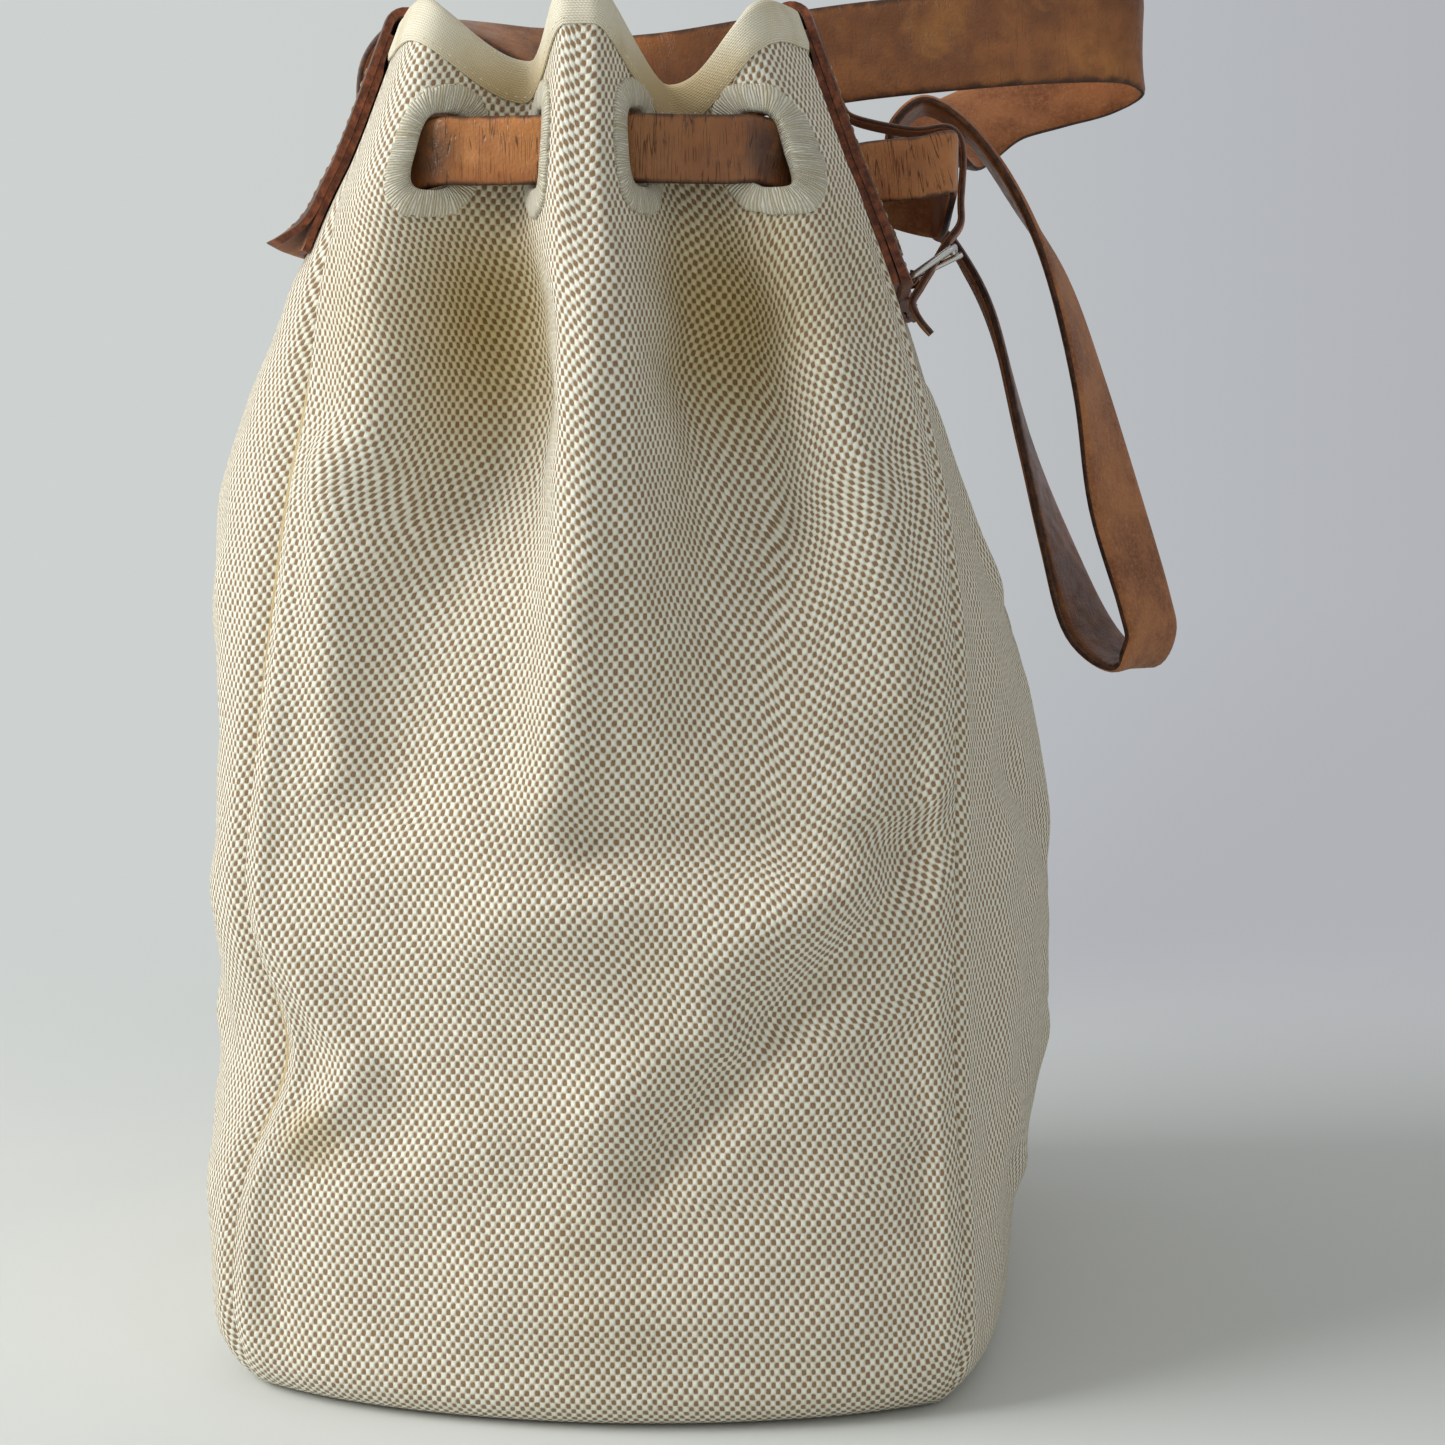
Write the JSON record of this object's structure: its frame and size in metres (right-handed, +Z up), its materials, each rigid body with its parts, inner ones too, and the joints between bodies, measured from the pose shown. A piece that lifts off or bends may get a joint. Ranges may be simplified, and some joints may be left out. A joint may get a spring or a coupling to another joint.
{
  "type": "bucket bag",
  "caption": "Canvas bucket bag with a gathered neck, leather drawstring through embroidered slots, patches over the rim, a buckled closure strap and a long shoulder strap.",
  "frame": {"origin": "on the floor at the centre of the base", "axes": "+X towards the closure (front), -Y towards the pictured end panel, +Z up"},
  "size_m": [0.2482, 0.2746, 0.3558],
  "materials": {
    "canvas": "two-tone checker weave",
    "cotton_tape": "herringbone tape",
    "slot_thread": "dense embroidered thread",
    "board": "pressed fibre board, stood in for by leather",
    "drawstring_leather": "tan, cracked grain",
    "patch_leather": "tan with dark raw edges",
    "lining_leather": "suede side",
    "closure_leather": "tan, waxed",
    "buckle_metal": "polished, silver coloured",
    "strap_leather": "tan with a darkened edge"
  },
  "bodies": {
    "bag": {"left_end_panel": "canvas", "right_end_panel": "canvas", "front_panel": "canvas", "back_panel": "canvas", "base_panel": "canvas", "base_board": "board", "left_seam_tape": "cotton_tape", "right_seam_tape": "cotton_tape", "rim_binding": "cotton_tape", "left_slot_stitching": "slot_thread", "right_slot_stitching": "slot_thread", "drawstring": "drawstring_leather", "front_patch": "patch_leather", "front_patch_lining": "lining_leather", "back_patch": "patch_leather", "back_patch_lining": "lining_leather", "closure_strap": "closure_leather", "buckle_chape": "closure_leather", "front_strap_tab": "strap_leather", "back_strap_tab": "strap_leather"},
    "shoulder_strap": {"shoulder_strap": "strap_leather"},
    "buckle_frame": {"buckle_frame": "buckle_metal"},
    "buckle_prong": {"buckle_prong": "buckle_metal"}
  },
  "joints": [
    {"name": "shoulder_strap_swing", "type": "hinge", "parent": "bag", "child": "shoulder_strap", "pos_m": [0, 0.017, 0.296], "axis": [1, 0, 0], "range_deg": [0, 18]},
    {"name": "buckle_frame_tilt", "type": "hinge", "parent": "bag", "child": "buckle_frame", "pos_m": [0.07079, -0.025, 0.26636], "axis": [0, 1, 0], "range_deg": [0, 15]},
    {"name": "buckle_prong_tilt", "type": "hinge", "parent": "buckle_frame", "child": "buckle_prong", "pos_m": [0.07079, -0.025, 0.26636], "axis": [0, 1, 0], "range_deg": [0, 40]}
  ]
}
